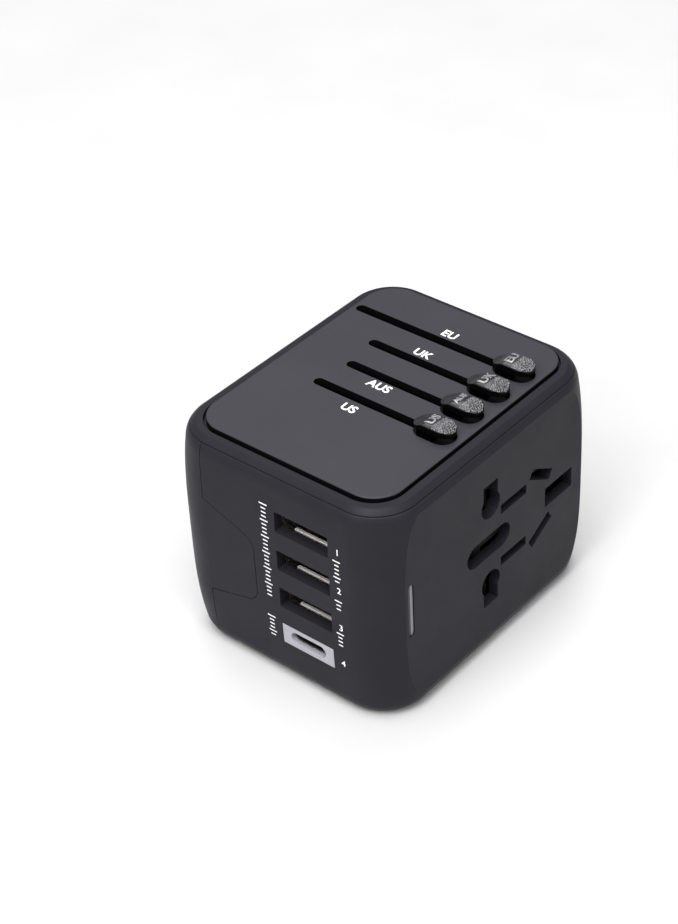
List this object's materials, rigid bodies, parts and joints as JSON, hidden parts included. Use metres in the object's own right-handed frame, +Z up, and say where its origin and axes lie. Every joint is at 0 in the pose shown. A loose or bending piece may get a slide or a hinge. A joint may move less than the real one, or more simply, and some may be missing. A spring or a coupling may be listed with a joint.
{
  "type": "universal travel adapter",
  "caption": "Barrel-shaped universal travel adapter with sliding plug pins, a multi-pattern socket face and stacked USB ports.",
  "frame": {"origin": "middle of the adapter's footprint, on the surface that it stands on", "axes": "+Z up through the slider plate, +X out of the socket face (pins leave at -X), -Y out of the USB ports"},
  "size_m": [0.0536, 0.067, 0.0536],
  "materials": {
    "housing_plastic": "soft-touch satin charcoal",
    "plate_plastic": "fine-grained grey",
    "knob_plastic": "glossy black with a stippled grip",
    "black_plastic": "matt black moulding",
    "inner_plastic": "glass-filled insulating moulding",
    "bezel_plastic": "pale grey moulding",
    "light_pipe": "translucent acrylic",
    "nickel": "bright nickel plating",
    "steel": "zinc-plated steel",
    "brass": "plain brass strip",
    "board": "green circuit board",
    "ferrite": "dark sintered ferrite",
    "tape": "yellow polyester tape",
    "can": "aluminium can",
    "ceramic": "white ceramic tube with metal caps"
  },
  "bodies": {
    "housing": {"main_housing": "housing_plastic", "plug_end_cap": "housing_plastic", "cap_screws": "steel", "top_frame": "housing_plastic", "top_plate": "plate_plastic", "shutter_spring": "steel", "contact_block": "inner_plastic", "live_contact": "brass", "neutral_contact": "brass", "earth_contact": "brass", "light_pipe": "light_pipe", "indicator_led": "light_pipe", "usb_a_shells": "nickel", "usb_a_tongues": "black_plastic", "usb_a_contacts": "brass", "usb_c_bezel": "bezel_plastic", "usb_c_shell": "nickel", "usb_c_tongue": "black_plastic", "port_board": "board", "main_board": "board", "transformer_core": "ferrite", "transformer_winding": "tape", "capacitors": "can", "controller_chip": "black_plastic", "fuse": "ceramic", "fuse_clips": "brass"},
    "shutter": {"safety_shutter": "black_plastic"},
    "us_slider": {"us_carriage": "black_plastic", "us_cover": "black_plastic", "us_pins": "nickel", "us_spring": "steel"},
    "us_knob": {"us_button": "knob_plastic"},
    "aus_slider": {"aus_carriage": "black_plastic", "aus_cover": "black_plastic", "aus_pins": "nickel", "aus_spring": "steel"},
    "aus_knob": {"aus_button": "knob_plastic"},
    "uk_slider": {"uk_carriage": "black_plastic", "uk_cover": "black_plastic", "uk_pins": "nickel", "uk_spring": "steel", "uk_earth_pin": "black_plastic"},
    "uk_knob": {"uk_button": "knob_plastic"},
    "eu_slider": {"eu_carriage": "black_plastic", "eu_cover": "black_plastic", "eu_pins": "nickel", "eu_spring": "steel"},
    "eu_knob": {"eu_button": "knob_plastic"}
  },
  "joints": [
    {"name": "shutter_slide", "type": "slide", "parent": "housing", "child": "shutter", "axis": [0, -1, 0], "range_m": [0, 0.0059], "stiffness_N_per_m": 60},
    {"name": "us_slide", "type": "slide", "parent": "housing", "child": "us_slider", "axis": [-1, 0, 0], "range_m": [0, 0.0232]},
    {"name": "us_press", "type": "slide", "parent": "us_slider", "child": "us_knob", "axis": [0, 0, -1], "range_m": [0, 0.0008], "stiffness_N_per_m": 900, "deforming": ["us_spring"]},
    {"name": "aus_slide", "type": "slide", "parent": "housing", "child": "aus_slider", "axis": [-1, 0, 0], "range_m": [0, 0.0232]},
    {"name": "aus_press", "type": "slide", "parent": "aus_slider", "child": "aus_knob", "axis": [0, 0, -1], "range_m": [0, 0.0008], "stiffness_N_per_m": 900, "deforming": ["aus_spring"]},
    {"name": "uk_slide", "type": "slide", "parent": "housing", "child": "uk_slider", "axis": [-1, 0, 0], "range_m": [0, 0.0232]},
    {"name": "uk_press", "type": "slide", "parent": "uk_slider", "child": "uk_knob", "axis": [0, 0, -1], "range_m": [0, 0.0008], "stiffness_N_per_m": 900, "deforming": ["uk_spring"]},
    {"name": "eu_slide", "type": "slide", "parent": "housing", "child": "eu_slider", "axis": [-1, 0, 0], "range_m": [0, 0.031]},
    {"name": "eu_press", "type": "slide", "parent": "eu_slider", "child": "eu_knob", "axis": [0, 0, -1], "range_m": [0, 0.0008], "stiffness_N_per_m": 900, "deforming": ["eu_spring"]}
  ]
}
